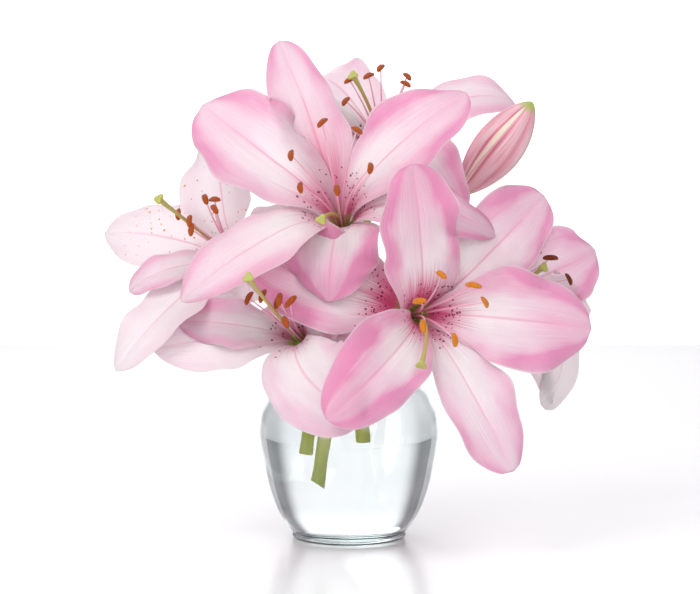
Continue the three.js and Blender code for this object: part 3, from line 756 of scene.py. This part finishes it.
def antherGrid(middle, lengthWay, faceWay, seed):
    # A bean: width falls off as (1 - |v|^2.4)^0.5 to both ends, with a groove along the outer side,
    # a slight bend, and grains of pollen as small random bumps.
    rows, sides = stamenShape["rows"], stamenShape["sides"]
    v = np.linspace(-1, 1, rows)[:, None]
    a = np.linspace(0, 2 * np.pi, sides, endpoint=False)[None]
    girth = np.sqrt(np.clip(1 - np.abs(v) ** 2.4, 0, 1))
    groove = 1 - 0.30 * np.exp(-(np.angle(np.exp(1j * a)) / 0.30) ** 2)
    grain = 1 + 0.07 * np.random.default_rng(seed).standard_normal((rows, sides))
    widthWay = np.cross(lengthWay, faceWay)
    r = girth * groove * grain
    shape = (stamenShape["antherLong"] * v + 0 * a)[..., None] * lengthWay
    shape = shape + (stamenShape["antherDeep"] * r * np.cos(a) - 0.9 * v ** 2)[..., None] * faceWay
    return middle + shape + (stamenShape["antherWide"] * r * np.sin(a))[..., None] * widthWay


def stamenPiece(flowerName, flower):
    bundle = Bundle()
    right, up, forward = axesOf(flower)
    for k, (at, spread, length, lie) in enumerate(flower["stamens"]):
        path, along = leaningPath(flower, at, spread, length, 1.9, 34)
        radii = np.linspace(stamenShape["foot"], stamenShape["end"], 34)
        bundle.add(tubeGrid(path, radii, 12), 0)
        lengthWay = math.cos(math.radians(lie)) * right + math.sin(math.radians(lie)) * up
        lengthWay = unit(lengthWay - math.tan(math.radians(flower["nod"])) * along[-1])
        faceWay = unit(along[-1] - (along[-1] @ lengthWay) * lengthWay)
        middle = path[-1] + 0.8 * faceWay
        bundle.add(antherGrid(middle, lengthWay, faceWay, 100 * k + len(flowerName)), 1)
    piece = bundle.piece(f"{flowerName}_stamen_set", [filamentPink, pollenOf[flower["pollen"]]])
    settle(piece, "stamen", f"{flowerName}_stamens")


def pistilPiece(flowerName, flower):
    # six-ribbed ovary in the throat, long style, and a knob of three lobes at its end
    bundle = Bundle()
    _, _, forward = axesOf(flower)
    path, along = leaningPath(flower, *flower["style"], 0, 60)
    s = np.linspace(0, 1, 60)
    radii = 1.05 + 0.55 * smooth(0.8, 1, s)
    bundle.add(tubeGrid(path, radii, 16, 3, 0.05))
    ovary = np.array(flower["base"]) + np.linspace(0.5, 14, 24)[:, None] * forward
    bundle.add(tubeGrid(ovary, 1.75 * np.sqrt(np.clip(1 - (np.linspace(-0.75, 1, 24)) ** 4, 0.05, 1)), 24,
                        6, 0.1),
               mapping=ringMap(26, 24) * np.array([1, 0.18]))
    rows, sides = 18, 36
    v = np.linspace(0, np.pi, rows)[:, None]
    a = np.linspace(0, 2 * np.pi, sides, endpoint=False)[None]
    lobe = 1 + 0.24 * np.cos(3 * a) * np.sin(v)
    _, sideways, upright = sectionAxes(path[-8:])
    knobRadius = 2.9 * np.sin(v) * lobe
    dip = 0.9 * np.exp(-(v / 0.7) ** 2)
    knob = path[-1] + (1.9 * np.cos(v) - dip + 0 * a)[..., None] * along[-1]
    knob = knob + (knobRadius * np.cos(a))[..., None] * sideways[-1] + (knobRadius * np.sin(a))[...,
                                                                                                None] * upright[-1]
    bundle.add(knob, mapping=np.stack(np.broadcast_arrays(a / 6.3, 1.03 + 0 * v), -1))
    piece = bundle.piece(f"{flowerName}_pistil_set", [pistilOlive])
    settle(piece, "pistil", f"{flowerName}_pistil")


for flowerName, flower in flowers.items():
    stamenPiece(flowerName, flower)
    pistilPiece(flowerName, flower)
print("stamens and pistils made")

budShape = {"base": (66, 0, 206), "tip": (109, -16, 262), "length": 71, "radius": 14.5, "rows": 90,
            "sides": 96}
budLook = {"green": (0.42, 0.50, 0.12), "pink": (0.78, 0.34, 0.42), "pale": (0.86, 0.62, 0.66),
           "cream": (0.88, 0.80, 0.62), "crimson": (0.52, 0.06, 0.13)}


def budMaterial():
    # pink, with a cream band along each of the three keels, crimson lines beside it and a green tip
    material, tree = newMaterial("budSkin")
    shader = shaderOf(tree)
    across, along, _ = uvOf(tree, "pieceMap")
    lines = noise(tree, vector(tree, calc(tree, "MULTIPLY", across, 60.0), calc(tree, "MULTIPLY", along,
                                                                                2.5)), 1.0, 3.0)
    fromKeel = calc(tree, "PINGPONG", calc(tree, "MULTIPLY_ADD", along, 0.12, calc(tree, "MULTIPLY", across,
                                                                                   3.0)), 0.5)
    fromKeel = calc(tree, "ADD", fromKeel, calc(tree, "MULTIPLY_ADD", lines, 0.08, -0.04))
    color = blendColor(tree, ease(tree, lines, 0.3, 0.7), budLook["pink"], budLook["pale"])
    color = blendColor(tree, ease(tree, fromKeel, 0.33, 0.5), color, budLook["pink"])
    besideKeel = calc(tree, "MULTIPLY", ease(tree, fromKeel, 0.05, 0.085), ease(tree, fromKeel, 0.085, 0.14,
                                                                                1.0, 0.0))
    color = blendColor(tree, calc(tree, "MULTIPLY", besideKeel, 0.75), color, budLook["crimson"])
    cream = calc(tree, "MULTIPLY", ease(tree, fromKeel, 0.03, 0.07, 1.0, 0.0), 0.85)
    color = blendColor(tree, cream, color, budLook["cream"])
    end = calc(tree, "ADD", along, calc(tree, "MULTIPLY_ADD", lines, 0.1, -0.05))
    color = blendColor(tree, ease(tree, end, 0.90, 0.97), color, budLook["green"])
    color = blendColor(tree, ease(tree, end, 0.02, 0.14, 1.0, 0.0), color, budLook["green"])
    put(tree, shader.inputs["Base Color"], color)
    put(tree, shader.inputs["Normal"], bump(tree, lines, 0.5, 0.25 * mm))
    put(tree, shader.inputs["Roughness"], calc(tree, "MULTIPLY_ADD", lines, 0.2, 0.36))
    shader.inputs["Subsurface Weight"].default_value = 0.3
    shader.inputs["Subsurface Radius"].default_value = (1.0, 0.5, 0.5)
    shader.inputs["Subsurface Scale"].default_value = 2.0 * mm
    return material


budSkin = budMaterial()


def budPiece():
    # A spindle of radius R sin(pi s^1.05)^0.65 with three broad ribs, a sharp keel on each and a
    # seam between.
    rows, sides = budShape["rows"], budShape["sides"]
    base = np.array(budShape["base"], float)
    way = unit(np.array(budShape["tip"], float) - base)
    side = unit(np.cross(way, [0, 0, 1]))
    other = np.cross(way, side)
    s = np.linspace(0, 1, rows)[:, None]
    a = np.linspace(0, 2 * np.pi, sides, endpoint=False)[None] + 0.25 * s
    girth = budShape["radius"] * np.sin(np.pi * s ** 1.05).clip(0) ** 0.65
    third = np.angle(np.exp(3j * a)) / 3
    keel = np.exp(-(third / 0.10) ** 2) - 0.35 * (np.exp(-((third - 0.2) / 0.07) ** 2)
                                                  + np.exp(-((third + 0.2) / 0.07) ** 2))
    seam = np.exp(-((np.abs(third) - np.pi / 3) / 0.06) ** 2)
    r = girth * (1 + 0.06 * np.cos(3 * a) + 0.07 * keel - 0.10 * seam * smooth(0.05, 0.3, s))
    grid = base + budShape["length"] * s[..., None] * way + (r * np.cos(a))[..., None] * side
    grid = grid + (r * np.sin(a))[..., None] * other
    bundle = Bundle()
    bundle.add(grid)
    settle(bundle.piece("bud_skin", [budSkin]), "bud", "bud")


budPiece()
print("bud made")

stemShape = {"radius": 3.2, "pedicel": 2.4, "sides": 28}
stems = {
    "left": {
        "main": [(-20, -4, 53.5), (-18.3, -4.5, 66), (-13, -6, 98), (-12, -8, 112)], "cut": 0,
        "pedicels": [("low", [(-12, -8, 110), (-18, -20, 118), (-24, -33, 119.5)]),
                     ("left", [(-12, -8, 110), (-24, -2, 132), (-44, 8, 152)])],
    },
    "middle": {
        "main": [(-14.6, -6, 36), (-11, -5, 62), (-1, -2, 100), (2, 4, 150)], "cut": 35,
        "pedicels": [("top", [(2, 4, 146), (2, -4, 165), (-1, -16, 175)]),
                     ("back", [(2, 4, 146), (8, 26, 180), (18, 42, 208)])],
    },
    "right": {
        "main": [(6.3, 6, 58), (6, 5.5, 72), (9, 4, 100), (16, 2, 124)], "cut": 0,
        "pedicels": [("right", [(15, 2, 121), (20, -8, 132), (30, -28, 135)]),
                     ("far", [(15, 2, 121), (42, 32, 130), (66, 44, 136)]),
                     ("bud", [(15, 2, 121), (44, 26, 150), (68, 14, 185)])],
    },
}


def flowerSeat(name):
    # the point just under a flower's throat, the direction it faces, and the radius of its seat
    if name == "bud":
        way = unit(np.array(budShape["tip"], float) - np.array(budShape["base"], float))
        return np.array(budShape["base"], float), way, 3.6
    forward = axesOf(flowers[name])[2]
    return np.array(flowers[name]["base"], float) + 0.6 * forward, forward, 6.2


def stemPiece(name, stem):
    bundle = Bundle()
    line = curveThrough(stem["main"], 90)
    s = np.linspace(0, 1, 90)
    radii = stemShape["radius"] * (1 + 0.03 * np.sin(23 * s) - 0.05 * s)
    trunk = tubeGrid(line, radii, stemShape["sides"], 5, 0.02)
    if stem["cut"]:
        slope = math.tan(math.radians(stem["cut"]))
        end = np.array(stem["main"][0], float)
        share = np.clip(1 - np.arange(len(trunk)) / 8, 0, 1)[:, None]
        trunk[..., 2] -= slope * (trunk[..., 0] - end[0]) * share
    bundle.add(trunk)
    for flowerName, via in stem["pedicels"]:
        seat, way, width = flowerSeat(flowerName)
        path = curveThrough([*via, seat - 6 * way, seat], 70)
        s = np.linspace(0, 1, 70)
        flare = stemShape["pedicel"] + (width - stemShape["pedicel"]) * smooth(0.90, 1, s) ** 1.5
        bundle.add(tubeGrid(path, flare, 24, 6, 0.03))
    settle(bundle.piece(f"stem_{name}_skin", [stemGreen]), "stem", f"stem_{name}")


for name, stem in stems.items():
    stemPiece(name, stem)
print("stems made")

vaseShape = {
    "sides": 160, "rows": 220, "waterLevel": 92,
    "outside": [(32.6, 0), (34.2, 1.4), (34.2, 3.2), (35.0, 4.8), (38.9, 10), (43.0, 17), (46.1, 25), (49.0,
                                                                                                       35),
                (50.9, 45), (52.9, 55), (53.7, 64), (52.6, 74), (49.2, 82), (46.0, 88.5), (39.0, 95), (32.0,
                                                                                                       99),
                (30.4, 102), (31.4, 106), (34.0, 109.4), (33.4, 110.6)],
    "inside": [(31.8, 110.2), (28.8, 106.6), (27.7, 102), (29.4, 97.4), (36.8, 92.8), (43.2, 87), (46.4,
                                                                                                   80.6),
               (49.8, 73), (50.9, 64), (50.1, 55), (48.1, 45), (46.2, 35), (43.3, 25.6), (40.0, 18.2),
               (36.4, 11),
               (32.5, 7), (24, 5.4), (10, 5)],
}


def raised(r):
    # the underside is hollow by 1.6 mm, so the vase stands on a ring
    return 1.6 * smooth(0, 1, np.clip((30.5 - r) / 6, 0, 1))


def lathe(profile, sides):
    # a profile of (radius, height) turned round the upright axis, closed on the axis at both ends
    profile = np.vstack([[0, profile[0][1]], profile, [0, profile[-1][1]]])
    a = np.linspace(0, 2 * np.pi, sides, endpoint=False)
    r, h = profile[:, :1], profile[:, 1:]
    return np.stack([r * np.cos(a), r * np.sin(a), h + 0 * a], -1)


def vasePiece():
    outline = curveThrough([(r, 0, h) for r, h in vaseShape["outside"] + vaseShape["inside"]],
                           vaseShape["rows"])
    foot = np.linspace(0, 32, 24)[:-1]
    outline = np.vstack([np.stack([foot, raised(foot)], -1), outline[:, [0, 2]]])
    bundle = Bundle()
    bundle.add(lathe(outline[1:], vaseShape["sides"]))
    settle(bundle.piece("vase_glass", [vaseGlass]), "vase_glass", "vase")


def waterPiece():
    # the inside of the vase up to the water level, pressed a little into the wall, with a raised edge
    wall = curveThrough([(r, 0, h) for r, h in vaseShape["inside"]], 160)[:, [0, 2]]
    wall = wall[wall[:, 1] < vaseShape["waterLevel"]][::-1] + np.array([0.35, -0.3])
    top = vaseShape["waterLevel"]
    edge = wall[-1, 0]
    surface = [(edge, top + 0.12), (edge - 1.2, top + 0.03), (edge - 4, top), (2, top)]
    bundle = Bundle()
    bundle.add(lathe(np.vstack([wall, surface]), vaseShape["sides"]))
    settle(bundle.piece("vase_water", [vaseWater]), "water", "water")


vasePiece()
waterPiece()
print("vase and water made")

def floorPiece():
    material, tree = newMaterial("floorWhite")
    shader = shaderOf(tree)
    tone = noise(tree, objectCoords(tree), 1.5, 1.0)
    put(tree, shader.inputs["Base Color"], blendColor(tree, tone, (0.965, 0.97, 0.985), (0.985, 0.99, 1.0)))
    shader.inputs["Roughness"].default_value = 0.22
    shader.inputs["Specular IOR Level"].default_value = 0.4
    across, deep = np.meshgrid(np.linspace(-30000, 30000, 9), np.linspace(-3000, 60000, 10))
    mesh = bpy.data.meshes.new("floor")
    points = np.stack([across, deep, 0 * across - 0.1], -1).reshape(-1, 3) * mm
    mesh.from_pydata(points, [], gridFaces(10, 9).tolist())
    mesh.materials.append(material)
    floor = bpy.data.objects.new("floor", mesh)
    scene.collection.objects.link(floor)


def backdropPiece():
    # a lit white sheet behind, darker at its sides, so that the glass edges read dark against it
    material, tree = newMaterial("backdropWhite")
    glow = shaderOf(tree)
    tone = noise(tree, objectCoords(tree), 1.5, 1.0)
    sheen = blendColor(tree, tone, (1.0, 1.0, 1.0), (0.98, 0.99, 1.0))
    across, _, height = split(tree, objectCoords(tree))
    fade = ease(tree, calc(tree, "ABSOLUTE", across), backdrop["plain"], backdrop["dim"], 1.0,
                backdrop["edge"])
    put(tree, glow.inputs["Base Color"], blendColor(tree, fade, backdrop["dark"], sheen))
    put(tree, glow.inputs["Emission Color"], sheen)
    strength = ease(tree, height, 0.0, 0.5, *backdrop["glow"])
    put(tree, glow.inputs["Emission Strength"], calc(tree, "MULTIPLY", strength, fade))
    half, top, back = backdrop["half"], backdrop["top"], backdrop["back"]
    mesh = bpy.data.meshes.new("backdrop")
    mesh.from_pydata([(-half, back, -0.001), (half, back, -0.001), (half, back, top), (-half, back, top)], [],
                     [(0, 1, 2, 3)])
    mesh.materials.append(material)
    sheet = bpy.data.objects.new("backdrop", mesh)
    scene.collection.objects.link(sheet)


backdrop = {"half": 1.4, "plain": 0.5, "dim": 0.9, "edge": 0.06, "top": 2.0, "back": 1.5, "glow": (0.22,
                                                                                                   0.62),
            "dark": (0.1, 0.11, 0.11)}
floorPiece()
backdropPiece()
print("floor and backdrop made")
